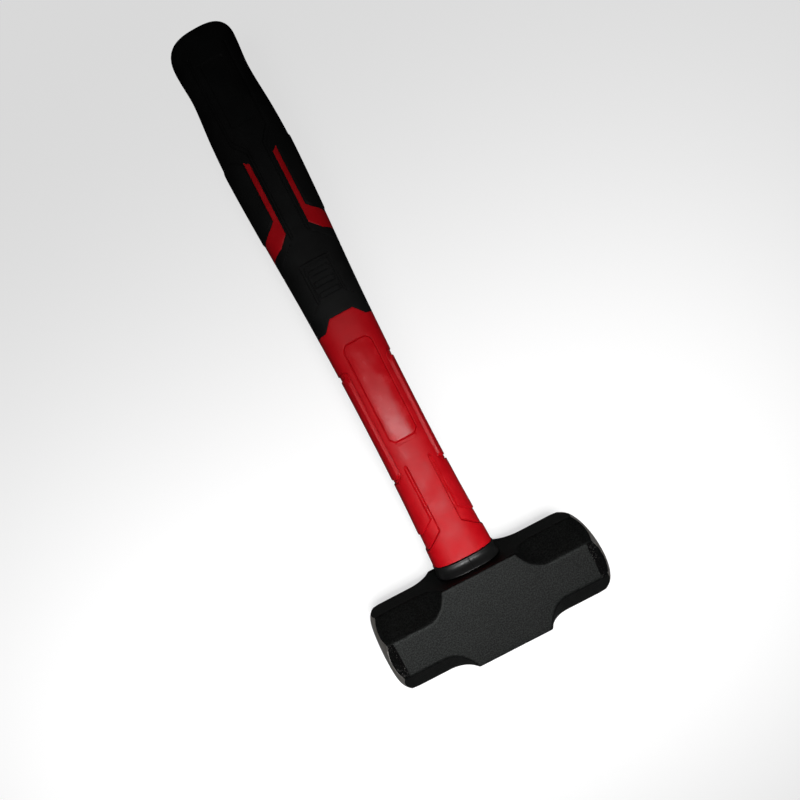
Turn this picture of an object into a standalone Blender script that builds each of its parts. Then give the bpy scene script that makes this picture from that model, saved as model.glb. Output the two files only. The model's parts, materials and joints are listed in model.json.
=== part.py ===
"""Double-faced club hammer: a forged steel head on a moulded fibreglass handle, built from its six pieces.

The hammer lies on one cheek of its head. +X runs along the head from face to face, +Y along the handle
from the head to the butt, and +Z up, out of the upper cheek. The origin is the middle of the lower cheek.
Sizes are in millimetres and become metres where a mesh is made.
"""
import math

import bmesh
import bpy
from mathutils import Matrix, Vector

METRES = 0.001
GAP = 0.3                      # clearance between pieces that touch

# Head: a square bar whose eight long corners are cut back to make two octagonal polls
BAR = 50.0                     # across the cheeks, and across the sides
HALF_BAR = BAR / 2
POLL_FLAT = 25.5               # from the head's axis to a corner flat of a poll
FLAT_START = 39.0              # from the middle to where a corner flat begins
RUN_OUT_RADIUS = 17.4          # round end of a corner flat
FACE_X = 70.3                  # the flat land in the middle of the domed striking face
LAND_RADIUS = 9.0
DOME_FALL = 0.002              # fall of the dome, times the square of the distance from its middle
RIM_START = 19.4               # distance from its middle where the face begins to round over to its rim
RIM_FALL = 0.073
RIM_RINGS = (22.0, 24.0, 26.0, 28.0, 31.0, 37.0)
TAPER_START = 61.0             # from the middle to the tapered ends of the cheeks and sides
TAPER_SLOPE = 0.08

# Eye: an oval hole along Y, narrowest in the middle of the head
EYE_WAIST = (14.5, 10.0)
EYE_MOUTH = (16.5, 12.0)

AXIS_Z = HALF_BAR              # height of the handle's axis
CORE_HALF = (10.5, 7.0)
CORE_START = -24.2
CORE_END = 335.0
RESIN_START = -24.0

COLLAR_BASE = HALF_BAR + GAP
COLLAR_TOP = 33.0
COLLAR_FOOT_HALF = (20.2, 18.4)
COLLAR_RIM_HALF = (19.8, 15.3)
SPIGOT_HALF = (15.5, 11.5)     # the handle's end inside the collar

HANDLE_START = COLLAR_TOP + GAP
BUTT = 355.0
BUTT_ROUNDING = 7.0
INNER_ROUNDING = 4.0           # of the butt's end under the grip
# Where along the handle, half of its width, half of its thickness
HANDLE_STATIONS = (
    (33.0, 19.2, 14.5),
    (50.0, 18.6, 14.0),
    (75.0, 17.7, 13.4),
    (110.0, 17.1, 13.0),
    (160.0, 17.2, 13.0),
    (205.0, 18.2, 13.6),
    (245.0, 19.8, 14.4),
    (285.0, 20.9, 14.9),
    (305.0, 20.3, 14.7),
    (330.0, 18.4, 14.0),
    (345.0, 19.2, 14.4),
    (355.0, 19.6, 14.6),
)
SECTION_POWER = 2.6            # 2 is an ellipse, more is squarer
GRIP_WALL = 2.6
GRIP_END_WALL = 4.0

# Outlines over the handle's +X half, as (distance from the handle's axis, place along the handle)
GRIP_FRONT = ((0.0, 188.5), (7.2, 188.5), (12.9, 182.8), (25.0, 184.0))
STRIPE = (
    (7.1, 239.0),
    (7.1, 279.4),
    (10.0, 281.4),
    (10.0, 248.2),
    (12.9, 246.0),
    (25.0, 240.1),
    (25.0, 231.4),
    (12.9, 234.0),
)
NECK_CHANNEL = (
    (6.8, 53.7),
    (6.8, 96.4),
    (9.0, 94.9),
    (9.0, 61.9),
    (25.0, 49.5),
    (25.0, 39.0),
)
CHANNEL_DEPTH = 0.7
LABEL_PAD = ((5.9, 111.0), (8.4, 113.5), (8.4, 168.8), (5.9, 171.3))
LABEL_PAD_HEIGHT = 0.5
RIB_STARTS = (199.9, 206.2, 212.6)
RIB_WIDTH = 2.9
RIB_HALF_LENGTH = 6.0
RIB_HEIGHT = 0.6

RING_POINTS = 40               # points round a section of the handle
THROUGH = 40.0                 # how far a cutter reaches, past all that it cuts


def clear_scene():
    """Removes whatever the scene starts with."""
    for item in list(bpy.data.objects):
        bpy.data.objects.remove(item)


def plain_material(name, colour, roughness, metallic=0.0):
    """A Principled material of one colour."""
    made = bpy.data.materials.new(name)
    made.use_nodes = True
    shader = made.node_tree.nodes["Principled BSDF"]
    shader.inputs["Base Color"].default_value = (*colour, 1.0)
    shader.inputs["Roughness"].default_value = roughness
    shader.inputs["Metallic"].default_value = metallic
    return made


def solid(name, points, faces, material=None):
    """A closed mesh object from points in millimetres, with its faces turned outwards."""
    mesh = bpy.data.meshes.new(name)
    mesh.from_pydata([Vector(p) * METRES for p in points], [], faces)
    work = bmesh.new()
    work.from_mesh(mesh)
    bmesh.ops.recalc_face_normals(work, faces=work.faces)
    work.to_mesh(mesh)
    work.free()
    made = bpy.data.objects.new(name, mesh)
    bpy.context.scene.collection.objects.link(made)
    if material:
        mesh.materials.append(material)
    return made


def loft(name, rings, material=None):
    """Joins rings of equally many points into a tube with closed ends."""
    count = len(rings[0])
    points = [point for ring in rings for point in ring]
    faces = []
    for row in range(len(rings) - 1):
        for i in range(count):
            j = (i + 1) % count
            faces.append((row * count + i, row * count + j, (row + 1) * count + j, (row + 1) * count + i))
    faces.append(tuple(range(count)))
    last = (len(rings) - 1) * count
    faces.append(tuple(last + i for i in range(count)))
    return solid(name, points, faces, material)


def prism(name, outline, low, high):
    """An outline of (x, y) points, carried straight up from z = low to z = high."""
    return loft(name, [[(x, y, z) for x, y in outline] for z in (low, high)])


def guide(item):
    """Marks a cutter, which is not a piece of the hammer."""
    item.hide_render = True
    item.display_type = "WIRE"
    return item


def boolean(target, operation, cutter):
    """Adds a Boolean to the target, which stays live on the object."""
    modifier = target.modifiers.new(operation.lower(), "BOOLEAN")
    modifier.operation = operation
    modifier.solver = "EXACT"
    modifier.object = guide(cutter)


def finish_shading(item, angle=35.0):
    """Smooth shading that keeps the edges sharper than the angle."""
    item.data.shade_smooth()
    item.data.set_sharp_from_angle(angle=math.radians(angle))


def oval(y, half_x, half_z, power=2.0, count=RING_POINTS):
    """A ring across the handle's axis, on a superellipse."""
    ring = []
    for i in range(count):
        angle = math.tau * (i + 0.5) / count
        c, s = math.cos(angle), math.sin(angle)
        x = half_x * math.copysign(abs(c) ** (2 / power), c)
        z = half_z * math.copysign(abs(s) ** (2 / power), s)
        ring.append((x, y, AXIS_Z + z))
    return ring


def handle_size(y):
    """Half width and half thickness of the handle at y, on a smooth curve through the stations."""
    stations = HANDLE_STATIONS
    y = min(max(y, stations[0][0]), stations[-1][0])
    k = max(i for i in range(len(stations) - 1) if stations[i][0] <= y)
    before, start = stations[max(k - 1, 0)], stations[k]
    end, after = stations[k + 1], stations[min(k + 2, len(stations) - 1)]
    span = end[0] - start[0]
    t = (y - start[0]) / span
    sizes = []
    for axis in (1, 2):
        slope_in = (end[axis] - before[axis]) / (end[0] - before[0]) * span
        slope_out = (after[axis] - start[axis]) / (after[0] - start[0]) * span
        sizes.append(
            start[axis] * (2 * t**3 - 3 * t**2 + 1)
            + slope_in * (t**3 - 2 * t**2 + t)
            + end[axis] * (3 * t**2 - 2 * t**3)
            + slope_out * (t**3 - t**2)
        )
    return sizes


def handle_rings(start, end, inset, step=12.0, rounding=BUTT_ROUNDING):
    """Rings of the handle's surface moved in by inset, ending in a rounded butt."""
    straight_end = end - rounding
    steps = max(2, round((straight_end - start) / step))
    places = [start + (straight_end - start) * i / steps for i in range(steps + 1)]
    rings = [oval(y, *(half - inset for half in handle_size(y)), SECTION_POWER) for y in places]
    turns = 4
    for i in range(1, turns + 1):
        angle = math.pi / 2 * i / turns
        y = straight_end + rounding * math.sin(angle)
        drop = inset + rounding * (1 - math.cos(angle))
        rings.append(oval(y, *(half - drop for half in handle_size(y)), SECTION_POWER))
    return rings


def both_sides(name, outline, low=AXIS_Z - THROUGH, high=AXIS_Z + THROUGH):
    """The outline's prism on the handle's +X side and its mirror image on the -X side."""
    made = []
    for side in (1, -1):
        made.append(prism(f"{name}_{side}", [(side * x, y) for x, y in outline], low, high))
    return made


def grown(outline, by):
    """An outline moved outwards by a distance; its points may run either way round."""
    area = sum(a[0] * b[1] - b[0] * a[1] for a, b in zip(outline, outline[1:] + outline[:1]))
    turn = 1.0 if area > 0 else -1.0
    moved = []
    for i, here in enumerate(outline):
        p = Vector(here)
        along_in = (p - Vector(outline[i - 1])).normalized()
        along_out = (Vector(outline[(i + 1) % len(outline)]) - p).normalized()
        normal_in = Vector((along_in.y, -along_in.x)) * turn
        normal_out = Vector((along_out.y, -along_out.x)) * turn
        middle = (normal_in + normal_out).normalized()
        moved.append(tuple(p + middle * (by / middle.dot(normal_in))))
    return tuple(moved)


def corner_cutter(name, quarter, side):
    """Cuts one long corner of the bar back to a poll's corner flat, with a round run-out."""
    radius = RUN_OUT_RADIUS
    centre_x, centre_d = FLAT_START, POLL_FLAT + radius
    steps = 10
    outline = [(FACE_X + THROUGH, POLL_FLAT)]
    for i in range(steps + 1):
        angle = math.pi / 2 * (1 + i / steps)
        outline.append((centre_x + radius * math.cos(angle), centre_d - radius * math.sin(angle)))
    outline.append((centre_x - radius, centre_d + THROUGH))
    outline.append((FACE_X + THROUGH, centre_d + THROUGH))
    rings = [[(side * x, across, d) for x, d in outline] for across in (-THROUGH, THROUGH)]
    cutter = loft(name, rings)
    turn = Matrix.Rotation(math.radians(45 + 90 * quarter), 4, "X")
    lift = Matrix.Translation(Vector((0, 0, HALF_BAR)) * METRES)
    cutter.data.transform(lift @ turn)
    return cutter


def face_x(radius):
    """Place of the striking face along the head, at a distance from the face's middle."""
    dome = DOME_FALL * (radius**2 - LAND_RADIUS**2)
    return FACE_X - dome - RIM_FALL * max(0.0, radius - RIM_START) ** 2


def dome_envelope():
    """The striking faces' domes and rounded rims, wide of the bar everywhere else."""
    radii = (LAND_RADIUS, RIM_START) + RIM_RINGS
    turns = [math.tau * i / RING_POINTS for i in range(RING_POINTS)]
    rings = []
    for side, outwards in ((1, radii), (-1, reversed(radii))):
        for radius in outwards:
            x = side * face_x(radius)
            rings.append([(x, radius * math.cos(t), HALF_BAR + radius * math.sin(t)) for t in turns])
    return loft("dome_envelope", rings)


def taper_envelope():
    """The slight taper of the ends of the cheeks and sides, wide of the bar in the middle."""
    rings = []
    for x in (-FACE_X - 5.0, 10.0 - TAPER_START, TAPER_START - 10.0, FACE_X + 5.0):
        half = HALF_BAR + (TAPER_START - abs(x)) * TAPER_SLOPE
        rings.append([(x, y * half, HALF_BAR + z * half) for y, z in ((-1, -1), (1, -1), (1, 1), (-1, 1))])
    return loft("taper_envelope", rings)


def eye_rings(start, end, inset):
    """Rings of the eye's hourglass wall, moved in by inset."""
    rings = []
    steps = 6
    for i in range(steps + 1):
        y = start + (end - start) * i / steps
        share = (abs(y) / HALF_BAR) ** 2
        halves = [waist + (mouth - waist) * share - inset for waist, mouth in zip(EYE_WAIST, EYE_MOUTH)]
        rings.append(oval(y, *halves))
    return rings


def core_hole(name):
    """The space that the core takes, with clearance all round."""
    halves = [half + GAP for half in CORE_HALF]
    return loft(name, [oval(y, *halves, SECTION_POWER) for y in (-THROUGH, CORE_END + GAP)])


def make_head():
    steel = plain_material("black_steel", (0.035, 0.037, 0.036), 0.45, 0.3)
    corners = [(y, z) for y, z in ((-1, 0), (1, 0), (1, 2), (-1, 2))]
    ends = [[(x, y * HALF_BAR, z * HALF_BAR) for y, z in corners] for x in (-FACE_X - 2, FACE_X + 2)]
    head = loft("head", ends, steel)
    for quarter in range(4):
        for side in (1, -1):
            boolean(head, "DIFFERENCE", corner_cutter(f"corner_{quarter}_{side}", quarter, side))
    boolean(head, "INTERSECT", taper_envelope())
    boolean(head, "INTERSECT", dome_envelope())
    boolean(head, "DIFFERENCE", loft("eye", eye_rings(-HALF_BAR - 3, HALF_BAR + 3, 0.0)))
    finish_shading(head, 20.0)


def make_core():
    glass = plain_material("fibreglass", (0.72, 0.62, 0.34), 0.5)
    rings = [oval(y, *CORE_HALF, SECTION_POWER) for y in (CORE_START, CORE_END)]
    finish_shading(loft("handle_core", rings, glass))


def make_eye_resin():
    epoxy = plain_material("epoxy", (0.05, 0.05, 0.045), 0.3)
    resin = loft("eye_resin", eye_rings(RESIN_START, HALF_BAR - GAP, GAP), epoxy)
    boolean(resin, "DIFFERENCE", core_hole("core_hole_in_resin"))
    finish_shading(resin)


def make_collar():
    rubber = plain_material("black_rubber", (0.02, 0.02, 0.02), 0.6)
    foot, rim = COLLAR_FOOT_HALF, COLLAR_RIM_HALF
    rings = []
    for share, drop in ((0.0, 0.7), (0.08, 0.0), (0.35, 0.0), (0.92, 0.0), (1.0, 0.5)):
        y = COLLAR_BASE + (COLLAR_TOP - COLLAR_BASE) * share
        blend = min(1.0, share / 0.8) ** 0.7
        rings.append(oval(y, *(a + (b - a) * blend - drop for a, b in zip(foot, rim)), SECTION_POWER))
    collar = loft("collar", rings, rubber)
    halves = [half + GAP for half in SPIGOT_HALF]
    hole = [oval(y, *halves, SECTION_POWER) for y in (COLLAR_BASE - THROUGH, COLLAR_TOP + THROUGH)]
    boolean(collar, "DIFFERENCE", loft("spigot_hole", hole))
    finish_shading(collar)


def grip_shell(name, clearance):
    """The space that the rubber grip takes round the jacket; clearance makes it smaller."""
    front = [(x, y + clearance) for x, y in GRIP_FRONT]
    outline = [(-x, y) for x, y in reversed(front[1:])] + front
    side, end = GRIP_FRONT[-1][0], BUTT + THROUGH
    shell = prism(name, outline + [(side, end), (-side, end)], AXIS_Z - THROUGH, AXIS_Z + THROUGH)
    inner = handle_rings(HANDLE_START, BUTT - GRIP_END_WALL, GRIP_WALL - clearance, rounding=INNER_ROUNDING)
    boolean(shell, "DIFFERENCE", loft(f"{name}_inside", inner))
    for stripe in both_sides(f"{name}_stripe", grown(STRIPE, clearance)):
        boolean(shell, "DIFFERENCE", stripe)
    return shell


def surface_band(name, outline, low, high):
    """The part of an outline's prisms that lies between two depths of the handle's surface."""
    band = handle_band(name, low, high)
    sides = both_sides(f"{name}_outline", outline)
    boolean(sides[0], "UNION", sides[1])
    boolean(band, "INTERSECT", sides[0])
    return band


def handle_band(name, low, high):
    """A skin of the handle from depth low up to depth high; a negative depth stands proud."""
    band = loft(name, handle_rings(HANDLE_START + 2, BUTT - 20, low, rounding=INNER_ROUNDING))
    core = handle_rings(HANDLE_START - 5, BUTT + 5, high, rounding=INNER_ROUNDING)
    boolean(band, "DIFFERENCE", loft(f"{name}_core", core))
    return band


def full_outline(outline):
    """An outline and its mirror image as one outline across the handle's axis."""
    return [(x, y) for x, y in outline] + [(-x, y) for x, y in reversed(outline)]


def proud_pad(name, outline, height):
    """A pad on both faces of the handle, from inside its skin to its height above it."""
    pad = handle_band(name, -height, 1.0)
    boolean(pad, "INTERSECT", prism(f"{name}_outline", outline, AXIS_Z - THROUGH, AXIS_Z + THROUGH))
    return pad


def make_jacket():
    red = plain_material("red_plastic", (0.62, 0.008, 0.016), 0.35)
    spigot = [oval(y, *SPIGOT_HALF, SECTION_POWER) for y in (COLLAR_BASE + GAP, HANDLE_START)]
    jacket = loft("handle_jacket", spigot + handle_rings(HANDLE_START, BUTT, 0.0), red)
    boolean(jacket, "UNION", proud_pad("label_pad", full_outline(LABEL_PAD), LABEL_PAD_HEIGHT))
    boolean(jacket, "DIFFERENCE", surface_band("neck_channel", NECK_CHANNEL, -2.0, CHANNEL_DEPTH))
    boolean(jacket, "DIFFERENCE", grip_shell("grip_space", 0.0))
    boolean(jacket, "DIFFERENCE", core_hole("core_hole_in_jacket"))
    finish_shading(jacket)


def make_grip():
    black = plain_material("black_grip", (0.018, 0.019, 0.019), 0.75)
    grip = loft("grip", handle_rings(HANDLE_START, BUTT, 0.0), black)
    for i, start in enumerate(RIB_STARTS):
        corner = [(RIB_HALF_LENGTH, start), (RIB_HALF_LENGTH, start + RIB_WIDTH)]
        boolean(grip, "UNION", proud_pad(f"rib_{i}", full_outline(corner), RIB_HEIGHT))
    boolean(grip, "INTERSECT", grip_shell("grip_body", GAP))
    finish_shading(grip)


clear_scene()
make_head()
make_core()
make_eye_resin()
make_collar()
make_jacket()
make_grip()
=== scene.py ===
"""Looks of a double-faced club hammer: forged head, rubber collar, red moulded handle and black rubber grip.

The hammer lies on one cheek of its head. +X runs along the head, +Y along the handle to the butt, +Z up.
Sizes are in millimetres and become metres where a mesh is made.
"""
import json
import math

import bmesh
import bpy
import numpy as np
from mathutils import Matrix, Vector, noise

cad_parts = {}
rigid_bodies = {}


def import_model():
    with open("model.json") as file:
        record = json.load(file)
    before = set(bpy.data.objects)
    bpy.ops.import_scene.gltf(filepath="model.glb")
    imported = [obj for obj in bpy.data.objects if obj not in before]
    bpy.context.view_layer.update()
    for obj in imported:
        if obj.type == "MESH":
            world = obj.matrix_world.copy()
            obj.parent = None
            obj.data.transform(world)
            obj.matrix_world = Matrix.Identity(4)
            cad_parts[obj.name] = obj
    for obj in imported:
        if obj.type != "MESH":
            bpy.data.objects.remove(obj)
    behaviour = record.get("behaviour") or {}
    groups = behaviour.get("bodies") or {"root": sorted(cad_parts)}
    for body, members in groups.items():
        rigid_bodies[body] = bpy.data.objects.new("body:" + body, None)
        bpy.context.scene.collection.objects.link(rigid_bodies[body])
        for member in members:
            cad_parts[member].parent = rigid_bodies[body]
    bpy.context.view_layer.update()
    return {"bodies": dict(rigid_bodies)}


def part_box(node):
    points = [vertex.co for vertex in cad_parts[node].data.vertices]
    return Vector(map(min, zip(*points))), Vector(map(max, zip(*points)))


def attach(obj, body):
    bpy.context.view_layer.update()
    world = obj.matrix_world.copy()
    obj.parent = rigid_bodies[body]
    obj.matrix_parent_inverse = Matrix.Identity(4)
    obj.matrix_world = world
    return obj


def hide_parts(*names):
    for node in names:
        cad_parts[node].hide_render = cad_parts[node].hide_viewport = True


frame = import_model()

METRES = 0.001
BODY = next(iter(frame["bodies"]))


def box_mm(cad_node):
    """Lowest and highest corner of a CAD node, in millimetres."""
    low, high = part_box(cad_node)
    return np.array(low) / METRES, np.array(high) / METRES


HEAD_LOW, HEAD_HIGH = box_mm("head")
COLLAR_LOW, COLLAR_HIGH = box_mm("collar")
CORE_LOW, CORE_HIGH = box_mm("handle_core")
RESIN_LOW, RESIN_HIGH = box_mm("eye_resin")

HALF_BAR = (HEAD_HIGH[2] - HEAD_LOW[2]) / 2
AXIS_Z = (HEAD_HIGH[2] + HEAD_LOW[2]) / 2
FACE_X = HEAD_HIGH[0]
GAP = COLLAR_LOW[1] - HALF_BAR

# Head
POLL_FLAT = 25.5               # from the head's axis to a corner flat of a poll
FLAT_START = 39.0              # from the middle to where a corner flat begins
RUN_OUT_RADIUS = 17.4          # round end of a corner flat
TAPER_START = 61.0             # from the middle to the slightly tapered ends
TAPER_SLOPE = 0.08
DOME_FALL = 0.002              # fall of the face's dome, times the square of the distance from its middle
RIM_START = 19.4               # distance from its middle where the face begins to round over to its rim
RIM_FALL = 0.073
END_START = 50.0               # where the head's rows turn from rings into the end's outline
FILLETS = {"bar": 1.5, "corner": 1.0, "rim": 0.4}
EYE_WAIST = (14.5, 10.0)
EYE_MOUTH = (16.5, 12.0)

# Handle
HANDLE_START = COLLAR_HIGH[1] + GAP
BUTT = box_mm("grip")[1][1]
BUTT_ROUNDING = 7.0
HANDLE_STATIONS = (            # place along the handle, half width, half thickness
    (33.0, 19.2, 14.5),
    (50.0, 18.6, 14.0),
    (75.0, 17.7, 13.4),
    (110.0, 17.1, 13.0),
    (160.0, 17.2, 13.0),
    (205.0, 18.2, 13.6),
    (245.0, 19.8, 14.4),
    (285.0, 20.9, 14.9),
    (305.0, 20.3, 14.7),
    (330.0, 18.4, 14.0),
    (345.0, 19.2, 14.4),
    (355.0, 19.6, 14.6),
)
SECTION_POWER = 2.6
GRIP_WALL = 2.4
GRIP_END_WALL = 3.8
GRIP_FIT = 0.2                 # open space between the grip and the jacket that it covers
SEAM = 0.12                    # the open line between grip and jacket
CORE_HALF = (10.5, 7.0)
SPIGOT_HALF = (15.5, 11.5)
COLLAR_FOOT_HALF = (20.2, 18.4)
COLLAR_RIM_HALF = (19.8, 15.3)

# Outlines over the handle's +X half, as (distance from the handle's axis, place along the handle).
# The other half and the underside mirror them.
FAR = 26.0                     # beyond the handle's sides
GRIP_FRONT = (
    (-7.2, 188.5),
    (7.2, 188.5),
    (12.9, 182.8),
    (FAR, 184.0),
    (FAR, 400.0),
    (-FAR, 400.0),
    (-FAR, 188.5),
)
STRIPE = (
    (7.1, 239.0),
    (7.1, 279.4),
    (10.0, 281.4),
    (10.0, 248.2),
    (12.9, 246.0),
    (FAR, 239.6),
    (FAR, 231.2),
    (12.9, 234.0),
)
NECK_CHANNEL = ((6.8, 53.7), (6.8, 95.6), (7.7, 96.6), (9.0, 94.9), (9.0, 61.9), (FAR, 49.1), (FAR, 38.0))
SIDE_CHANNEL = (
    (FAR, 88.4),
    (15.4, 88.8),
    (12.2, 92.0),
    (12.2, 157.8),
    (14.4, 159.8),
    (FAR, 160.4),
    (FAR, 156.8),
    (15.6, 156.2),
    (13.9, 153.4),
    (13.9, 93.4),
    (15.6, 91.4),
    (FAR, 91.0),
)
LABEL_PAD = ((-5.9, 111.0), (5.9, 111.0), (8.4, 113.5), (8.4, 168.8), (5.9, 171.3), (-5.9, 171.3))
LABEL_STEP = ((-6.4, 108.2), (5.2, 108.2), (6.6, 109.4), (6.6, 110.4), (-6.4, 110.4))
PALM_GROOVE = (
    (-9.3, 220.6),
    (9.3, 220.6),
    (9.3, 198.5),
    (FAR, 185.4),
    (FAR, 183.0),
    (19.0, 190.6),
    (7.35, 199.4),
    (7.35, 218.6),
    (-9.3, 218.6),
)
SPINE_GROOVE = (
    (4.4, 236.0),
    (4.4, 286.0),
    (10.4, 293.6),
    (10.4, 341.0),
    (11.9, 341.0),
    (11.9, 292.2),
    (6.0, 284.5),
    (6.0, 234.8),
    (FAR, 219.4),
    (FAR, 217.4),
)
SIDE_PAD = ((10.7, 248.6), (10.7, 281.0), (14.0, 284.5), (FAR, 291.4), (FAR, 246.2), (13.2, 246.7))
BUTT_PANEL = ((-6.7, 299.0), (5.9, 299.0), (6.7, 299.8), (6.7, 334.2), (5.9, 335.0), (-6.7, 335.0))
RIB_STARTS = (199.9, 206.2, 212.6)
RIB_WIDTH = 2.9
RIB_HALF_LENGTH = 6.0
RIB_CORNERS = (
    (-RIB_HALF_LENGTH, 0.0),
    (RIB_HALF_LENGTH, 0.0),
    (RIB_HALF_LENGTH, RIB_WIDTH),
    (-RIB_HALF_LENGTH, RIB_WIDTH),
)
RIBS = tuple(tuple((x, start + y) for x, y in RIB_CORNERS) for start in RIB_STARTS)
# Outline, height of what is inside it, width of its sloping edge
RELIEFS = (
    (NECK_CHANNEL, -0.75, 0.5),
    (SIDE_CHANNEL, -0.7, 0.5),
    (LABEL_STEP, 0.12, 0.5),
    (LABEL_PAD, 0.45, 0.5),
    (PALM_GROOVE, -0.6, 0.5),
    (SPINE_GROOVE, -0.6, 0.5),
    (SIDE_PAD, 0.5, 0.8),
    (BUTT_PANEL, -0.5, 0.6),
) + tuple((rib, 0.6, 0.6) for rib in RIBS)
# Fine grooves along outlines: outline, distance of the groove's middle from it, half width, depth
CREASES = ((LABEL_PAD, 0.6, 0.35, 0.35), (NECK_CHANNEL, -0.5, 0.3, 0.4), (SIDE_CHANNEL, -0.5, 0.3, 0.4))
SEAM_ROUNDING = 0.3            # edges of grip and jacket turn down into their seam
SEAM_DROP = 0.14

HANDLE_COLUMNS = 46            # cells round a quarter of the handle
HANDLE_CELL = 0.95             # length of a cell along the handle
COLLAR_COLUMNS = 90


# ---------------------------------------------------------------- meshes

def mesh_object(name, points, faces, materials, face_material=None, sharp=38.0):
    """A smooth-shaded object from points in millimetres."""
    mesh = bpy.data.meshes.new(name)
    mesh.from_pydata(np.asarray(points) * METRES, [], faces)
    for material in materials:
        mesh.materials.append(material)
    if face_material is not None:
        mesh.polygons.foreach_set("material_index", face_material)
    work = bmesh.new()
    work.from_mesh(mesh)
    bmesh.ops.recalc_face_normals(work, faces=work.faces)
    work.to_mesh(mesh)
    work.free()
    made = bpy.data.objects.new(name, mesh)
    bpy.context.scene.collection.objects.link(made)
    mesh.shade_smooth()
    mesh.set_sharp_from_angle(angle=math.radians(sharp))
    return made


def place(piece, cad_node):
    """Makes a piece stand for a CAD node and ride on the hammer's one body."""
    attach(piece, BODY)
    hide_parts(cad_node)


def mirrored(points, faces, tags, axis, centre):
    """Adds the mirror image across a plane, sharing the points that lie on it."""
    points = np.asarray(points)
    on_plane = np.abs(points[:, axis] - centre) < 1e-4
    points[on_plane, axis] = centre
    image = points[~on_plane].copy()
    image[:, axis] = 2 * centre - image[:, axis]
    index = np.where(on_plane, np.arange(len(points)), 0)
    index[~on_plane] = len(points) + np.arange(len(image))
    copies = [tuple(index[v] for v in reversed(face)) for face in faces]
    return np.vstack([points, image]), list(faces) + copies, list(tags) + list(tags)


def grid_faces(rows, columns, closed):
    """Quads of a grid of rows; a closed grid joins each row's last point to its first."""
    faces = []
    for r in range(rows - 1):
        for c in range(columns if closed else columns - 1):
            d = (c + 1) % columns
            faces.append((r * columns + c, r * columns + d, (r + 1) * columns + d, (r + 1) * columns + c))
    return faces


def smooth_step(t):
    """Eases from 0 to 1 while t goes from 0 to 1."""
    t = np.clip(t, 0.0, 1.0)
    return t * t * (3.0 - 2.0 * t)


def outline_distance(plan, outline):
    """Distance from (n, 2) points to a closed outline, negative inside it."""
    x, y = plan[:, 0], plan[:, 1]
    nearest = np.full(len(plan), np.inf)
    inside = np.zeros(len(plan), bool)
    for (ax, ay), (bx, by) in zip(outline, outline[1:] + outline[:1]):
        ex, ey = bx - ax, by - ay
        t = np.clip(((x - ax) * ex + (y - ay) * ey) / (ex * ex + ey * ey), 0.0, 1.0)
        nearest = np.minimum(nearest, np.hypot(x - ax - t * ex, y - ay - t * ey))
        if ay != by:
            inside ^= ((ay > y) != (by > y)) & (x < ex * (y - ay) / ey + ax)
    return np.where(inside, -nearest, nearest)


def grip_distance(plan):
    """Distance to the edge of the area that the grip covers, negative inside it."""
    return np.maximum(outline_distance(plan, GRIP_FRONT), -outline_distance(plan, STRIPE))


# ---------------------------------------------------------------- handle

def handle_size(y):
    """Half width and half thickness of the handle at y, on a smooth curve through the stations."""
    stations = HANDLE_STATIONS
    y = min(max(y, stations[0][0]), stations[-1][0])
    k = max(i for i in range(len(stations) - 1) if stations[i][0] <= y)
    before, start = stations[max(k - 1, 0)], stations[k]
    end, after = stations[k + 1], stations[min(k + 2, len(stations) - 1)]
    span = end[0] - start[0]
    t = (y - start[0]) / span
    sizes = []
    for axis in (1, 2):
        slope_in = (end[axis] - before[axis]) / (end[0] - before[0]) * span
        slope_out = (after[axis] - start[axis]) / (after[0] - start[0]) * span
        sizes.append(
            start[axis] * (2 * t**3 - 3 * t**2 + 1)
            + slope_in * (t**3 - 2 * t**2 + t)
            + end[axis] * (3 * t**2 - 2 * t**3)
            + slope_out * (t**3 - t**2)
        )
    return sizes


def quarter_ring(y, half_x, half_z, power=SECTION_POWER, columns=HANDLE_COLUMNS):
    """A quarter of a superellipse ring, from the +X side up to the top."""
    turn = np.linspace(0.0, math.pi / 2, columns + 1)
    angle = np.arctan2(half_z * np.sin(turn), half_x * np.cos(turn))
    c, s = np.abs(np.cos(angle)), np.abs(np.sin(angle))
    radius = ((c / half_x) ** power + (s / half_z) ** power) ** (-1 / power)
    x, z = radius * c, radius * s
    x[-1] = 0.0
    z[0] = 0.0
    return np.stack([x, np.full_like(x, y), AXIS_Z + z], axis=1)


def skin_rows():
    """Quarter rings of the handle's outer surface from the collar to the butt's flat end."""
    straight_end = BUTT - BUTT_ROUNDING
    count = round((straight_end - HANDLE_START) / HANDLE_CELL)
    rows = [quarter_ring(y, *handle_size(y)) for y in np.linspace(HANDLE_START, straight_end, count + 1)]
    turns = 10
    for i in range(1, turns + 1):
        angle = math.pi / 2 * i / turns
        y = straight_end + BUTT_ROUNDING * math.sin(angle)
        drop = BUTT_ROUNDING * (1 - math.cos(angle))
        rows.append(quarter_ring(y, *(half - drop for half in handle_size(y))))
    return rows


def end_cap(rows, y_last):
    """Rings that close a quarter surface towards the handle's axis on its last row's plane."""
    last = rows[-1]
    centre = np.array([0.0, y_last, AXIS_Z])
    return [centre + (last - centre) * share for share in (0.8, 0.6, 0.4, 0.2)]


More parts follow.
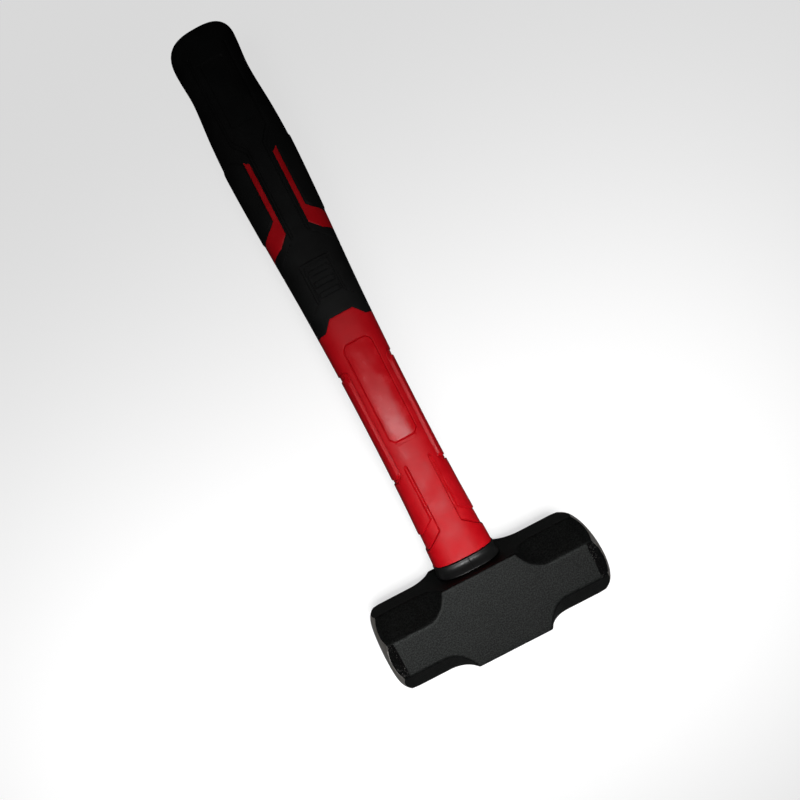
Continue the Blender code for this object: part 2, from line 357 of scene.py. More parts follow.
def cut_along(work, distance, level):
    """Cuts the mesh where the distance has this value, so that a crisp edge can run there."""
    work.verts.ensure_lookup_table()
    plan = np.array([(v.co.x, v.co.y) for v in work.verts])
    offset = dict(zip(work.verts, distance(plan) - level))
    close = 0.03
    line = {v for v, d in offset.items() if abs(d) < close}
    crossing = [
        e for e in work.edges
        if offset[e.verts[0]] * offset[e.verts[1]] < 0 and not line.intersection(e.verts)
    ]
    for edge in crossing:
        a, b = edge.verts
        share = offset[a] / (offset[a] - offset[b])
        _, made = bmesh.utils.edge_split(edge, a, share)
        offset[made] = 0.0
        line.add(made)
    # Taken in the order of offset, and each once, so that every run numbers the mesh alike
    waiting = list(dict.fromkeys(face for v in offset if v in line for face in v.link_faces))
    while waiting:
        face = waiting.pop()
        corners = list(face.verts)
        marks = [i for i, v in enumerate(corners) if v in line]
        sides = {offset[v] > 0 for v in corners if v not in line}
        if len(marks) < 2 or len(sides) < 2:
            continue
        for i, start in enumerate(marks):
            stop = marks[(i + 1) % len(marks)]
            run = (stop - start) % len(corners)
            between = [corners[(start + k) % len(corners)] for k in range(1, run)]
            if between and run < len(corners) - 1 and all(offset[v] < 0 for v in between):
                made, _ = bmesh.utils.face_split(face, corners[start], corners[stop])
                waiting.extend((face, made))
                break


def score_skin(points, faces):
    """Cuts the handle's skin along the edges of every relief and of the grip."""
    work = bmesh.new()
    verts = [work.verts.new(p) for p in points]
    for face in faces:
        work.faces.new([verts[v] for v in face])
    for outline, _, width in RELIEFS:
        for level in (-width * 0.8, -width / 2, 0.0, width / 2, width * 0.8):
            cut_along(work, lambda plan, o=outline: outline_distance(plan, o), level)
    for outline, middle, half, _ in CREASES:
        for level in (middle - half, middle, middle + half):
            cut_along(work, lambda plan, o=outline: outline_distance(plan, o), level)
    for level in (-SEAM_ROUNDING, -SEAM / 2, SEAM / 2, SEAM_ROUNDING):
        cut_along(work, grip_distance, level)
    work.verts.index_update()
    points = np.array([v.co[:] for v in work.verts])
    faces = [tuple(v.index for v in face.verts) for face in work.faces]
    work.free()
    return points, faces


def relief_height(plan):
    """Height of the moulded relief above the handle's plain surface."""
    height = np.zeros(len(plan))
    for outline, rise, width in RELIEFS:
        share = smooth_step(0.5 - outline_distance(plan, outline) / width)
        height = height + rise * share
    for outline, middle, half, depth in CREASES:
        height -= depth * smooth_step(1.0 - np.abs(outline_distance(plan, outline) - middle) / half)
    height -= SEAM_DROP * smooth_step(1.0 - np.abs(grip_distance(plan)) / SEAM_ROUNDING)
    return height


def outward(points):
    """The handle's outward direction at points of its skin, leaving its slope along Y out."""
    sizes = np.array([handle_size(y) for y in points[:, 1]])
    height = points[:, 2] - AXIS_Z
    power = SECTION_POWER - 1
    x = np.abs(points[:, 0] / sizes[:, 0]) ** power / sizes[:, 0] * np.sign(points[:, 0])
    z = np.abs(height / sizes[:, 1]) ** power / sizes[:, 1] * np.sign(height)
    length = np.hypot(x, z) + 1e-9
    return np.stack([x / length, np.zeros_like(x), z / length], axis=1)


def lowered(points):
    """The skin's points moved in by the grip's wall, and back from the butt by its end wall."""
    moved = points - outward(points) * GRIP_WALL
    start = BUTT - BUTT_ROUNDING
    end_share = smooth_step((points[:, 1] - start) / BUTT_ROUNDING)
    moved[:, 1] -= GRIP_END_WALL * end_share
    at_end = points[:, 1] > BUTT - 0.01
    shrink = 0.9
    moved[at_end, 0] = points[at_end, 0] * shrink
    moved[at_end, 2] = AXIS_Z + (points[at_end, 2] - AXIS_Z) * shrink
    moved[:, 0] = np.maximum(moved[:, 0], 0.0)
    moved[:, 2] = np.maximum(moved[:, 2], AXIS_Z)
    moved[points[:, 0] < 1e-4, 0] = 0.0
    moved[points[:, 2] < AXIS_Z + 1e-4, 2] = AXIS_Z
    return moved


def borders(faces, chosen):
    """Directed edges that lead round the chosen faces where they meet faces that aren't chosen."""
    owner = {}
    for k, face in enumerate(faces):
        for i, v in enumerate(face):
            owner[(v, face[(i + 1) % len(face)])] = k
    found = []
    for (a, b), k in owner.items():
        other = owner.get((b, a))
        if chosen[k] and other is not None and not chosen[other]:
            found.append((a, b))
    return found


def face_centres(points, faces):
    """Mean of each face's corners."""
    return np.array([points[list(face)].mean(axis=0) for face in faces])


def whole_handle(points, faces, tags):
    """Mirrors a quarter of the handle to its other side and to its underside."""
    points, faces, tags = mirrored(points, faces, tags, 0, 0.0)
    return mirrored(points, faces, tags, 2, AXIS_Z)


def compact(points, faces):
    """Drops the points that no face uses."""
    used = sorted({v for face in faces for v in face})
    index = {v: i for i, v in enumerate(used)}
    return points[used], [tuple(index[v] for v in face) for face in faces]


def handle_skin():
    """The scored quarter skin: its points, faces, and each face's distance to the grip's edge."""
    rows = skin_rows()
    rows += end_cap(rows, BUTT)
    columns = HANDLE_COLUMNS + 1
    points = np.vstack(rows + [np.array([[0.0, BUTT, AXIS_Z]])])
    faces = grid_faces(len(rows), columns, closed=False)
    centre = len(points) - 1
    first = (len(rows) - 1) * columns
    faces += [(first + c, first + c + 1, centre) for c in range(columns - 1)]
    points, faces = score_skin(points, faces)
    distance = grip_distance(face_centres(points, faces)[:, :2])
    return points, faces, distance


def raised(points):
    """Skin points with the moulded relief on them."""
    return points + outward(points) * relief_height(points[:, :2])[:, None]


def make_jacket(skin, red, glossy_red):
    """The red moulding, lowered where the grip covers it, with its spigot and the core's bore."""
    points, faces, distance = skin
    outside = distance > SEAM / 2
    count = len(points)
    both = np.vstack([raised(points), lowered(points)])
    walls = [(a, b, b + count, a + count) for a, b in borders(faces, outside)]
    built = []
    tags = []
    centres = face_centres(points, faces)
    on_pad = outline_distance(centres[:, :2], LABEL_PAD) < 0.0
    for k, face in enumerate(faces):
        built.append(face if outside[k] else tuple(v + count for v in face))
        tags.append(1 if on_pad[k] and outside[k] else 0)
    built += [tuple(reversed(wall)) for wall in walls]
    tags += [0] * len(walls)

    front = [
        quarter_ring(HANDLE_START, *SPIGOT_HALF),
        quarter_ring(COLLAR_LOW[1] + GAP, *SPIGOT_HALF),
        quarter_ring(COLLAR_LOW[1] + GAP, *(half + GAP for half in CORE_HALF)),
        quarter_ring(CORE_HIGH[1] + GAP, *(half + GAP for half in CORE_HALF)),
    ]
    columns = HANDLE_COLUMNS + 1
    first = [v for v in range(count) if abs(points[v, 1] - HANDLE_START) < 1e-4]
    first.sort(key=lambda v: math.atan2(points[v, 2] - AXIS_Z, points[v, 0]))
    base = len(both)
    both = np.vstack([both] + front + [np.array([[0.0, CORE_HIGH[1] + GAP, AXIS_Z]])])
    chain = [first] + [[base + r * columns + c for c in range(columns)] for r in range(len(front))]
    for near, far in zip(chain, chain[1:]):
        for c in range(columns - 1):
            built.append((near[c + 1], near[c], far[c], far[c + 1]))
            tags.append(0)
    for c in range(columns - 1):
        built.append((chain[-1][c + 1], chain[-1][c], len(both) - 1))
        tags.append(0)
    both, built = compact(both, built)
    both, built, tags = whole_handle(both, built, tags)
    jacket = mesh_object("handle_jacket_moulding", both, built, [red, glossy_red], tags)
    place(jacket, "handle_jacket")


def make_grip(skin, rubber):
    """The rubber sleeve: the skin over its area, its inner surface and the walls between them."""
    points, faces, distance = skin
    inside = distance < -SEAM / 2
    count = len(points)
    both = np.vstack([raised(points), lowered(points) + outward(points) * GRIP_FIT])
    flat = points[:, 0] < 1e-4
    both[count:][flat, 0] = 0.0
    flat = points[:, 2] < AXIS_Z + 1e-4
    both[count:][flat, 2] = AXIS_Z
    built = []
    for k, face in enumerate(faces):
        if inside[k]:
            built.append(face)
            built.append(tuple(v + count for v in reversed(face)))
    built += [(b, a, a + count, b + count) for a, b in borders(faces, inside)]
    both, built = compact(both, built)
    both, built, _ = whole_handle(both, built, [0] * len(built))
    grip = mesh_object("rubber_grip", both, built, [rubber])
    place(grip, "grip")


# ---------------------------------------------------------------- collar, core and resin

def lathe_rings(rings):
    """A full closed ring surface from quarter rings, joined back to its first ring."""
    columns = len(rings[0])
    points = np.vstack(rings)
    faces = grid_faces(len(rings), columns, closed=False)
    last = (len(rings) - 1) * columns
    faces += [(last + c, last + c + 1, c + 1, c) for c in range(columns - 1)]
    return points, faces


def make_collar(rubber):
    """A flared rubber collar with rounded edges and the parting line of its mould."""
    low, high = COLLAR_LOW[1], COLLAR_HIGH[1]
    edge = 0.9
    profile = []
    for i in range(7):
        angle = math.pi / 2 * i / 6
        profile.append((low + edge * (1 - math.cos(angle)) * 0.8, edge * (1 - math.sin(angle))))
    for share in np.linspace(0.14, 0.86, 16):
        profile.append((low + (high - low) * share, 0.0))
    for i in range(7):
        angle = math.pi / 2 * i / 6
        profile.append((high - edge * (1 - math.sin(angle)), edge * (1 - math.cos(angle))))
    rings = []
    for y, drop in profile:
        share = (y - low) / (high - low)
        blend = smooth_step(share * 1.15) ** 0.8
        inset = drop + 0.35 * math.sin(math.pi * min(1.0, share)) ** 2
        halves = [foot + (rim - foot) * blend - inset for foot, rim in zip(COLLAR_FOOT_HALF, COLLAR_RIM_HALF)]
        ring = quarter_ring(y, *halves, columns=COLLAR_COLUMNS)
        ridge = 0.16 * np.exp(-((ring[:, 0] / 0.22) ** 2)) * (ring[:, 2] > AXIS_Z + 3) * (drop < 0.6)
        ring[:, 2] += ridge
        rings.append(ring)
    rings.append(quarter_ring(high, *(half + GAP for half in SPIGOT_HALF), columns=COLLAR_COLUMNS))
    rings.append(quarter_ring(low, *(half + GAP for half in SPIGOT_HALF), columns=COLLAR_COLUMNS))
    points, faces = lathe_rings(rings)
    points, faces, _ = whole_handle(points, faces, [0] * len(faces))
    collar = mesh_object("rubber_collar", points, faces, [rubber])
    place(collar, "collar")


def make_core(glass):
    """The fibreglass rod, whose sawn end shows in the eye."""
    low, high = CORE_LOW[1], CORE_HIGH[1]
    rows = [quarter_ring(low, *(half * share for half in CORE_HALF)) for share in np.linspace(0.05, 0.95, 19)]
    rows.append(quarter_ring(low + 0.1, *(half - 0.1 for half in CORE_HALF)))
    rows.append(quarter_ring(low + 0.4, *CORE_HALF))
    rows += [quarter_ring(y, *CORE_HALF) for y in np.linspace(low + 4, high, 12)]
    columns = HANDLE_COLUMNS + 1
    points = np.vstack(rows + [np.array([[0.0, low, AXIS_Z], [0.0, high, AXIS_Z]])])
    faces = grid_faces(len(rows), columns, closed=False)
    last = (len(rows) - 1) * columns
    faces += [(c + 1, c, len(points) - 2) for c in range(columns - 1)]
    faces += [(last + c, last + c + 1, len(points) - 1) for c in range(columns - 1)]
    points, faces, _ = whole_handle(points, faces, [0] * len(faces))
    sawn = points[:, 1] < low + 0.05
    for k in np.flatnonzero(sawn):
        x, _, z = points[k]
        points[k, 1] += 0.05 + 0.05 * noise.noise(Vector((x * 0.4, z * 6.0, 3.0)))
    core = mesh_object("fibreglass_core", points, faces, [glass])
    place(core, "handle_core")


def eye_half(y, inset):
    """Half sizes of the eye's hourglass at y, moved in."""
    share = (abs(y) / HALF_BAR) ** 2
    return [waist + (mouth - waist) * share - inset for waist, mouth in zip(EYE_WAIST, EYE_MOUTH)]


def make_resin(epoxy):
    """The cast resin round the core, hollowed by its meniscus at the open end of the eye."""
    low, high = RESIN_LOW[1], RESIN_HIGH[1]
    inner = [half + 0.05 for half in CORE_HALF]
    outer = eye_half(low, GAP)
    rings = []
    for share in np.linspace(0.0, 1.0, 15):
        halves = [a + (b - a) * share for a, b in zip(inner, outer)]
        power = SECTION_POWER + (2.0 - SECTION_POWER) * share
        dip = 0.5 * math.sin(math.pi * share) ** 0.7 if 0 < share < 1 else 0.0
        rings.append(quarter_ring(low + dip, *halves, power=power))
    rings += [quarter_ring(y, *eye_half(y, GAP), power=2.0) for y in np.linspace(low + 1, high, 12)]
    rings.append(quarter_ring(high, *inner))
    points, faces = lathe_rings(rings)
    points, faces, _ = whole_handle(points, faces, [0] * len(faces))
    for k in np.flatnonzero((points[:, 1] < low + 0.7) & (points[:, 1] > low + 0.1)):
        x, _, z = points[k]
        points[k, 1] += 0.12 * noise.noise(Vector((x * 0.25, z * 0.25, 7.0)))
    resin = mesh_object("eye_resin_fill", points, faces, [epoxy])
    place(resin, "eye_resin")


# ---------------------------------------------------------------- head

def soft_max(a, b, width):
    """The larger of two distances, blended over a width so that their edge is rounded."""
    blend = np.maximum(width - np.abs(a - b), 0.0) / width
    return np.maximum(a, b) + blend * blend * width / 4


def face_x(radius):
    """Place of the striking face along the head, at a distance from the face's middle."""
    return FACE_X - DOME_FALL * radius**2 - RIM_FALL * np.maximum(radius - RIM_START, 0.0) ** 2


def corner_distance(x, y, z):
    """Distance to the flat that cuts the bar's corner, or to its round run-out."""
    run = np.maximum(FLAT_START - x, 0.0)
    return RUN_OUT_RADIUS - np.hypot(run, POLL_FLAT + RUN_OUT_RADIUS - (y + z) / math.sqrt(2))


def head_distances(x, y, z):
    """Distances to the head's sides and to its striking face in its +X, +Y, +Z eighth; negative inside."""
    bar = soft_max(y - HALF_BAR, z - HALF_BAR, FILLETS["bar"])
    taper = TAPER_SLOPE * np.maximum(x - TAPER_START, 0.0)
    sides = soft_max(bar, corner_distance(x, y, z), FILLETS["corner"]) + taper
    radius = np.hypot(y, z)
    slope = 2 * DOME_FALL * radius + 2 * RIM_FALL * np.maximum(radius - RIM_START, 0.0)
    face = (x - face_x(radius)) / np.sqrt(1 + slope * slope)
    return sides, face


def first_outside(reach, is_outside):
    """How far each ray runs before is_outside, a test of distances along the rays, is true."""
    near, far = np.zeros(reach.shape), reach
    for _ in range(45):
        middle = (near + far) / 2
        outside = is_outside(middle)
        far = np.where(outside, middle, far)
        near = np.where(outside, near, middle)
    return near


def spaced(start, stop, base, fine):
    """Values from start to stop that crowd together near the fine ones, given as (place, reach, density)."""
    ticks = np.linspace(start, stop, 4000)
    density = np.ones_like(ticks)
    for centre, reach, extra in fine:
        density += extra * np.exp(-(((ticks - centre) / reach) ** 2))
    travelled = np.concatenate([[0.0], np.cumsum((density[1:] + density[:-1]) / 2 * np.diff(ticks))])
    count = max(2, round(travelled[-1] / base))
    return np.interp(np.linspace(0.0, travelled[-1], count + 1), travelled, ticks)


def head_turns(x):
    """Angles round the head's axis at x, crowded at the edges of the corner flat."""
    run = min(max(FLAT_START - x, 0.0), RUN_OUT_RADIUS)
    flat = POLL_FLAT + RUN_OUT_RADIUS - math.sqrt(RUN_OUT_RADIUS**2 - run**2)
    edge = math.atan2(min(flat * math.sqrt(2) - HALF_BAR, HALF_BAR * 0.95), HALF_BAR)
    side = edge * spaced(0.0, 1.0, 0.1, [(1.0, 0.1, 6.0)])
    corner = edge + (math.pi / 2 - 2 * edge) * spaced(0.0, 1.0, 0.06, [(0.0, 0.06, 6.0), (1.0, 0.06, 6.0)])
    return np.concatenate([side, corner[1:-1], math.pi / 2 - side[::-1]])


def head_eighth():
    """Points and faces of the head's +X, +Y, +Z eighth, found along rays from the head's axis."""
    along = spaced(0.0, END_START, 1.1, [(24.0, 2.5, 2.0), (32.0, 8.0, 1.4)])
    turns = np.array([head_turns(x) for x in along])
    end_turns = turns[-1]
    c, s = np.cos(end_turns), np.sin(end_turns)
    reach = np.full(len(end_turns), 40.0)
    rim = first_outside(reach, lambda r: head_distances(face_x(r), r * c, r * s)[0] > 0)
    to_taper = spaced(END_START, TAPER_START, 1.0, [(TAPER_START, 1.0, 2.0)])[1:]
    to_rim = spaced(0.0, 1.0, 0.14, [(1.0, 0.15, 3.0)])[1:]
    inwards = spaced(0.0, 1.0, 0.055, [(0.0, 0.05, 4.0), (0.2, 0.1, 1.0)])[1:-1]
    targets = [(np.full_like(rim, x), rim) for x in to_taper]
    targets += [(TAPER_START + (face_x(rim) - TAPER_START) * share, rim) for share in to_rim]
    targets += [(face_x(rim * (1 - share)), rim * (1 - share)) for share in inwards]
    target_x = np.vstack([np.repeat(along[:, None], len(rim), axis=1)] + [x for x, _ in targets])
    target_r = np.vstack([np.ones((len(along), len(rim)))] + [r for _, r in targets])
    origin = np.minimum(target_x, END_START)
    turns = np.vstack([turns, np.repeat(end_turns[None], len(targets), axis=0)])
    ray = np.stack([target_x - origin, target_r * np.cos(turns), target_r * np.sin(turns)], axis=2)
    ray = ray.reshape(-1, 3)
    ray /= np.linalg.norm(ray, axis=1)[:, None]
    origin = origin.ravel()

    def leaves(distance):
        p = ray * distance[:, None]
        sides, face = head_distances(p[:, 0] + origin, p[:, 1], p[:, 2])
        return soft_max(sides, face, FILLETS["rim"]) > 0

    points = ray * first_outside(np.full(len(ray), 60.0), leaves)[:, None]
    points[:, 0] += origin
    points[turns.ravel() > math.pi / 2 - 1e-6, 1] = 0.0
    rows, columns = turns.shape
    faces = grid_faces(rows, columns, closed=False)
    points = np.vstack([points, [[FACE_X, 0.0, 0.0]]])
    last = (rows - 1) * columns
    faces += [(last + c, last + c + 1, len(points) - 1) for c in range(columns - 1)]
    return points, faces


def head_tags(points, faces):
    """Material numbers: 0 the coat, 1 the cheeks' worn ends, 2 the ground faces, 3 the other bare ends."""
    centres = face_centres(points, faces)
    sides, face = head_distances(*centres.T)
    x, y, z = centres.T
    cheek = z - HALF_BAR > np.maximum(y - HALF_BAR, corner_distance(x, y, z))
    return np.where(face > sides, 2, np.where(x < TAPER_START, 0, np.where(cheek, 1, 3))).tolist()


def eye_cutter():
    """The eye's hourglass, flared where it opens so that its mouth has rounded edges."""
    flare = 0.9
    places = [(-HALF_BAR - 2, flare), (-HALF_BAR, flare), (-HALF_BAR + 0.25, 0.45), (-HALF_BAR + 0.6, 0.12)]
    places.append((-HALF_BAR + 1.0, 0.0))
    places += [(y, 0.0) for y in np.linspace(-HALF_BAR + 3, HALF_BAR - 3, 12)]
    places += [(-y, out) for y, out in reversed(places[:5])]
    rings = [quarter_ring(y, *eye_half(y, -out), power=2.0) for y, out in places]
    columns = HANDLE_COLUMNS + 1
    ends = np.array([[0.0, places[0][0], AXIS_Z], [0.0, places[-1][0], AXIS_Z]])
    points = np.vstack(rings + [ends])
    faces = grid_faces(len(rings), columns, closed=False)
    last = (len(rings) - 1) * columns
    faces += [(c + 1, c, len(points) - 2) for c in range(columns - 1)]
    faces += [(last + c, last + c + 1, len(points) - 1) for c in range(columns - 1)]
    points, faces, _ = whole_handle(points, faces, [0] * len(faces))
    return mesh_object("eye_cutter", points, faces, [])


def make_head(*materials):
    """The forged head with its eye, in the materials that head_tags numbers."""
    points, faces = head_eighth()
    tags = head_tags(points, faces)
    for axis in range(3):
        points, faces, tags = mirrored(points, faces, tags, axis, 0.0)
    touching = [set() for _ in points]
    for face, tag in zip(faces, tags):
        for v in face:
            touching[v].add(tag)
    for k, p in enumerate(points):
        if 2 in touching[k]:
            continue
        # The forging is faintly uneven, and the worn ends of the cheeks are pitted as well
        dent = 0.06 + 0.03 * noise.noise(Vector(p * 0.07))
        if touching[k] == {1}:
            dent += abs(0.16 * noise.noise(Vector(p * 0.9))) + 0.06 * noise.noise(Vector(p * 2.3))
        points[k] -= np.array(Vector((0.0, p[1], p[2])).normalized()) * dent
    points[:, 2] += AXIS_Z
    head = mesh_object("forged_head", points, faces, materials, tags, sharp=60.0)
    cutter = eye_cutter()
    cut = head.modifiers.new("eye", "BOOLEAN")
    cut.operation = "DIFFERENCE"
    cut.solver = "EXACT"
    cut.object = cutter
    bpy.context.view_layer.update()
    graph = bpy.context.evaluated_depsgraph_get()
    mesh = bpy.data.meshes.new_from_object(head.evaluated_get(graph))
    head.modifiers.clear()
    head.data = mesh
    bpy.data.objects.remove(cutter)
    mesh.shade_smooth()
    mesh.set_sharp_from_angle(angle=math.radians(50.0))
    place(head, "head")


# ---------------------------------------------------------------- materials

def node(tree, kind, inputs=None, **settings):
    """A shader node with its settings; inputs are values or sockets to link."""
    made = tree.nodes.new(kind)
    for key, value in settings.items():
        setattr(made, key, value)
    for key, value in (inputs or {}).items():
        if isinstance(value, bpy.types.NodeSocket):
            tree.links.new(value, made.inputs[key])
        else:
            made.inputs[key].default_value = value
    return made


def blank(name, **values):
    """A Principled material; values set its sockets, with _ for a space."""
    made = bpy.data.materials.new(name)
    made.use_nodes = True
    shader = made.node_tree.nodes["Principled BSDF"]
    for key, value in values.items():
        shader.inputs[key.replace("_", " ")].default_value = value
    return made, made.node_tree, shader


def position(tree, stretch=(1.0, 1.0, 1.0)):
    """The object's own coordinates, stretched."""
    where = node(tree, "ShaderNodeTexCoord").outputs["Object"]
    return node(tree, "ShaderNodeMapping", {"Vector": where, "Scale": stretch}).outputs["Vector"]


def grain(tree, where, scale, detail=2.0, roughness=0.5):
    """Noise between 0 and 1; scale is in features per metre."""
    inputs = {"Vector": where, "Scale": scale, "Detail": detail, "Roughness": roughness}
    return node(tree, "ShaderNodeTexNoise", inputs).outputs["Fac"]


def ramp(tree, value, stops):
    """Colours by value; stops are (place, colour)."""
    made = node(tree, "ShaderNodeValToRGB", {"Fac": value})
    elements = made.color_ramp.elements
    while len(elements) < len(stops):
        elements.new(0.5)
    for element, (place_at, colour) in zip(elements, stops):
        element.position = place_at
        element.color = (*colour, 1.0)
    return made.outputs["Color"]


def between(tree, value, low, high, start=0.3, stop=0.7):
    """A value carried from the span start..stop to low..high."""
    inputs = {"Value": value, "From Min": start, "From Max": stop, "To Min": low, "To Max": high}
    return node(tree, "ShaderNodeMapRange", inputs).outputs["Result"]


def bump(tree, height, depth, strength=1.0, below=None):
    """Surface relief of a real depth in metres."""
    inputs = {"Height": height, "Distance": depth, "Strength": strength}
    if below is not None:
        inputs["Normal"] = below
    return node(tree, "ShaderNodeBump", inputs).outputs["Normal"]


def coat_material(name, dark, light, rough, speckle_depth):
    """Black coating or scale on forged steel: fine speckle, faint clouds and an orange-peel surface.

    The speckle's darker grains are part metallic, which dims what they mirror.
    """
    made, tree, shader = blank(name, Specular_IOR_Level=0.18, Specular_Tint=(0.94, 1.0, 0.97, 1.0))
    where = position(tree)
    speckle = grain(tree, where, 1200.0, 3.0, 0.7)
    clouds = grain(tree, where, 60.0, 2.0)
    both = node(tree, "ShaderNodeMath", {0: speckle, 1: between(tree, clouds, -0.05, 0.05)}, operation="ADD")
    stops = [(0.42, (dark, dark * 1.03, dark)), (0.6, (light, light * 1.05, light))]
    colour = ramp(tree, both.outputs[0], stops)
    tree.links.new(colour, shader.inputs["Base Color"])
    tree.links.new(between(tree, speckle, 0.5, 0.0, 0.42, 0.6), shader.inputs["Metallic"])
    tree.links.new(between(tree, speckle, rough + 0.06, rough - 0.06), shader.inputs["Roughness"])
    peel = bump(tree, grain(tree, where, 420.0, 2.0), 0.00004)
    tree.links.new(bump(tree, speckle, speckle_depth, 1.0, peel), shader.inputs["Normal"])
    return made


def worn_material():
    """The bare ends of the cheeks: dark rough scale with small flecks where bright steel shows."""
    made, tree, shader = blank("worn_end", Specular_IOR_Level=0.03)
    where = position(tree)
    flecks = grain(tree, where, 1700.0, 3.0, 0.7)
    patches = grain(tree, where, 170.0, 2.0)
    shown = node(tree, "ShaderNodeMath", {0: flecks, 1: between(tree, patches, -0.05, 0.05)}, operation="ADD")
    bare = between(tree, shown.outputs[0], 0.0, 1.0, 0.62, 0.72)
    colour = ramp(tree, bare, [(0.0, (0.0015, 0.0015, 0.0015)), (1.0, (0.24, 0.23, 0.22))])
    tree.links.new(colour, shader.inputs["Base Color"])
    tree.links.new(bare, shader.inputs["Metallic"])
    tree.links.new(between(tree, bare, 0.7, 0.4, 0.0, 1.0), shader.inputs["Roughness"])
    coarse = bump(tree, grain(tree, where, 500.0, 3.0, 0.6), 0.0003)
    tree.links.new(bump(tree, flecks, 0.0003, 1.0, coarse), shader.inputs["Normal"])
    return made


def ground_material():
    """The striking face: bright ground steel with a few stains."""
    made, tree, shader = blank("ground_face", Metallic=1.0)
    where = position(tree, (1.0, 14.0, 1.0))
    lines = grain(tree, where, 260.0, 4.0, 0.6)
    cloud = grain(tree, position(tree), 90.0, 3.0)
    colour = ramp(tree, cloud, [(0.3, (0.66, 0.61, 0.55)), (0.75, (0.86, 0.84, 0.81))])
    tree.links.new(colour, shader.inputs["Base Color"])
    tree.links.new(between(tree, lines, 0.28, 0.5), shader.inputs["Roughness"])
    tree.links.new(bump(tree, lines, 0.00003), shader.inputs["Normal"])
    return made


def red_material(name, shine, rough, grain_depth):
    """Red moulded plastic with a fine spark-eroded grain and slight uneven shine."""
    made, tree, shader = blank(name, Specular_IOR_Level=shine)
    where = position(tree)
    clouds = grain(tree, where, 110.0, 3.0, 0.55)
    fine = grain(tree, where, 2600.0, 2.0)
    colour = ramp(tree, clouds, [(0.3, (0.45, 0.002, 0.006)), (0.7, (0.52, 0.004, 0.009))])
    tree.links.new(colour, shader.inputs["Base Color"])
    tree.links.new(between(tree, clouds, rough - 0.1, rough + 0.1), shader.inputs["Roughness"])
    wavy = bump(tree, grain(tree, where, 180.0, 2.0), 0.00006)
    tree.links.new(bump(tree, fine, grain_depth, 1.0, wavy), shader.inputs["Normal"])
    return made


def rubber_material(name, shine, dark, light, rough, grain_scale, grain_depth):
    """Black rubber; the grain is the mould's texture."""
    made, tree, shader = blank(name, Specular_IOR_Level=shine)
    where = position(tree)
    clouds = grain(tree, where, 75.0, 3.0)
    fine = grain(tree, where, grain_scale, 2.0, 0.6)
    colour = ramp(tree, clouds, [(0.3, (dark, dark, dark)), (0.7, (light, light * 1.03, light * 1.02))])
    tree.links.new(colour, shader.inputs["Base Color"])
    tree.links.new(between(tree, fine, rough + 0.07, rough - 0.05), shader.inputs["Roughness"])
    tree.links.new(bump(tree, fine, grain_depth), shader.inputs["Normal"])
    return made


def glass_material():
    """Fibreglass: strands along the rod, seen end on as a fine grain where it is sawn."""
    made, tree, shader = blank("fibreglass", Specular_IOR_Level=0.5)
    strands = grain(tree, position(tree, (1.0, 0.02, 1.0)), 1800.0, 3.0, 0.7)
    colour = ramp(tree, strands, [(0.3, (0.5, 0.38, 0.16)), (0.7, (0.82, 0.74, 0.5))])
    tree.links.new(colour, shader.inputs["Base Color"])
    tree.links.new(between(tree, strands, 0.65, 0.4), shader.inputs["Roughness"])
    tree.links.new(bump(tree, strands, 0.00008), shader.inputs["Normal"])
    return made


def resin_material():
    """Dark cast resin with a few streaks in it."""
    made, tree, shader = blank("dark_resin", Specular_IOR_Level=0.5, Coat_Weight=0.3, Coat_Roughness=0.1)
    streaks = grain(tree, position(tree), 220.0, 4.0, 0.6)
    colour = ramp(tree, streaks, [(0.35, (0.03, 0.028, 0.024)), (0.7, (0.09, 0.08, 0.06))])
    tree.links.new(colour, shader.inputs["Base Color"])
    tree.links.new(between(tree, streaks, 0.22, 0.36), shader.inputs["Roughness"])
    tree.links.new(bump(tree, streaks, 0.0001), shader.inputs["Normal"])
    return made


def floor_material():
    """Matt studio floor: pale to look at, but dark in what the hammer mirrors, so that black stays black."""
    white = (1.0, 1.0, 1.0, 1.0)
    made, tree, shader = blank("pale_floor", Roughness=0.9, Specular_IOR_Level=0.1, Emission_Color=white)
    seen = node(tree, "ShaderNodeLightPath").outputs["Is Camera Ray"]
    tree.links.new(between(tree, seen, 0.06, 0.4, 0.0, 1.0), shader.inputs["Base Color"])
    tree.links.new(between(tree, seen, 0.0, 0.66, 0.0, 1.0), shader.inputs["Emission Strength"])
    return made


# ---------------------------------------------------------------- studio

CAMERA_PLACE = (-31.7, 116.0, 320.4)
CAMERA_TILT = (5.17, 0.95)     # degrees that the view leans about the picture's x and y
CAMERA_ROLL = 27.95            # degrees that the handle leans in the picture
CAMERA_LENS = 22.18
CAMERA_SHIFT = (0.05, 0.125)


def add_camera():
    """A camera above the hammer that looks almost straight down on it."""
    data = bpy.data.cameras.new("camera")
    data.lens = CAMERA_LENS
    data.sensor_width = 36.0
    data.shift_x, data.shift_y = CAMERA_SHIFT
    data.clip_start = 0.01
    camera = bpy.data.objects.new("camera", data)
    bpy.context.scene.collection.objects.link(camera)
    lean = Vector((*CAMERA_TILT, 0.0))
    tilt = Matrix.Rotation(math.radians(lean.length), 3, lean)
    roll = Matrix.Rotation(math.radians(CAMERA_ROLL), 3, "Z")
    turn = (tilt @ roll).transposed().to_4x4()
    camera.matrix_world = Matrix.Translation(Vector(CAMERA_PLACE) * METRES) @ turn
    bpy.context.scene.camera = camera


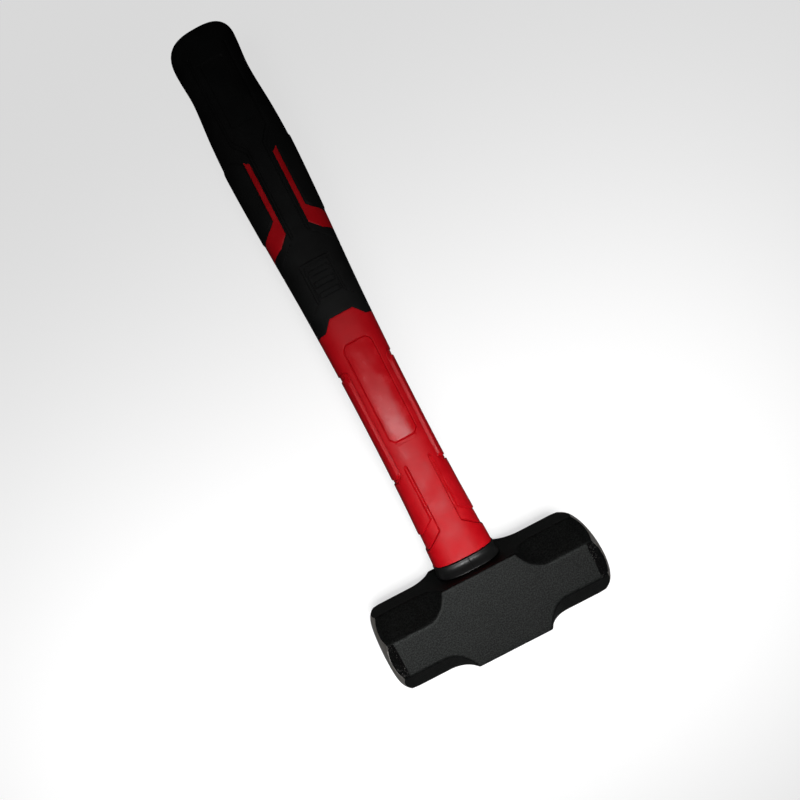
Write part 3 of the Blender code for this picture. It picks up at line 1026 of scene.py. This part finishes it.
def add_light(name, place_at, aim, size, spread, watts):
    """A soft box; its place, aim and size are in metres, and its light fans out over spread degrees."""
    data = bpy.data.lights.new(name, "AREA")
    data.shape = "RECTANGLE"
    data.size, data.size_y = size
    data.spread = math.radians(spread)
    data.energy = watts
    light = bpy.data.objects.new(name, data)
    bpy.context.scene.collection.objects.link(light)
    direction = Vector(aim) - Vector(place_at)
    turn = direction.to_track_quat("-Z", "Y").to_matrix().to_4x4()
    light.matrix_world = Matrix.Translation(Vector(place_at)) @ turn


def add_studio():
    """The floor, the backdrop, which lights little but looks white, and two soft boxes."""
    half = 3.0
    points = [(-half, -half, 0.0), (half, -half, 0.0), (half, half, 0.0), (-half, half, 0.0)]
    mesh = bpy.data.meshes.new("floor")
    mesh.from_pydata(points, [], [(0, 1, 2, 3)])
    mesh.materials.append(floor_material())
    floor = bpy.data.objects.new("floor", mesh)
    bpy.context.scene.collection.objects.link(floor)
    world = bpy.data.worlds.new("studio")
    world.use_nodes = True
    tree = world.node_tree
    tree.nodes["Background"].inputs["Color"].default_value = (0.03, 0.03, 0.031, 1.0)
    backdrop = node(tree, "ShaderNodeBackground", {"Color": (0.9, 0.9, 0.9, 1.0)})
    seen = node(tree, "ShaderNodeLightPath").outputs["Is Camera Ray"]
    both = node(tree, "ShaderNodeMixShader", {0: seen})
    tree.links.new(tree.nodes["Background"].outputs[0], both.inputs[1])
    tree.links.new(backdrop.outputs[0], both.inputs[2])
    tree.links.new(both.outputs[0], tree.nodes["World Output"].inputs["Surface"])
    bpy.context.scene.world = world
    add_light("key", (-0.05, -0.015, 0.7), (-0.05, -0.015, 0.0), (0.63, 0.32), 44.0, 0.82)
    add_light("fill", (-0.6, -0.15, 1.0), (0.0, 0.03, 0.0), (0.6, 0.6), 60.0, 0.27)
    bpy.context.scene.view_settings.view_transform = "Standard"


skin = handle_skin()
make_head(
    coat_material("black_coat", 0.003, 0.0065, 0.47, 0.00014),
    worn_material(),
    ground_material(),
    coat_material("bare_scale", 0.002, 0.005, 0.5, 0.00004),
)
make_collar(rubber_material("collar_rubber", 0.35, 0.004, 0.008, 0.38, 900.0, 0.00003))
make_jacket(
    skin,
    red_material("red_plastic", 0.15, 0.45, 0.00005),
    red_material("red_label_pad", 0.18, 0.23, 0.00003),
)
make_grip(skin, rubber_material("grip_rubber", 0.1, 0.005, 0.009, 0.6, 1900.0, 0.00006))
make_core(glass_material())
make_resin(resin_material())
add_studio()
add_camera()
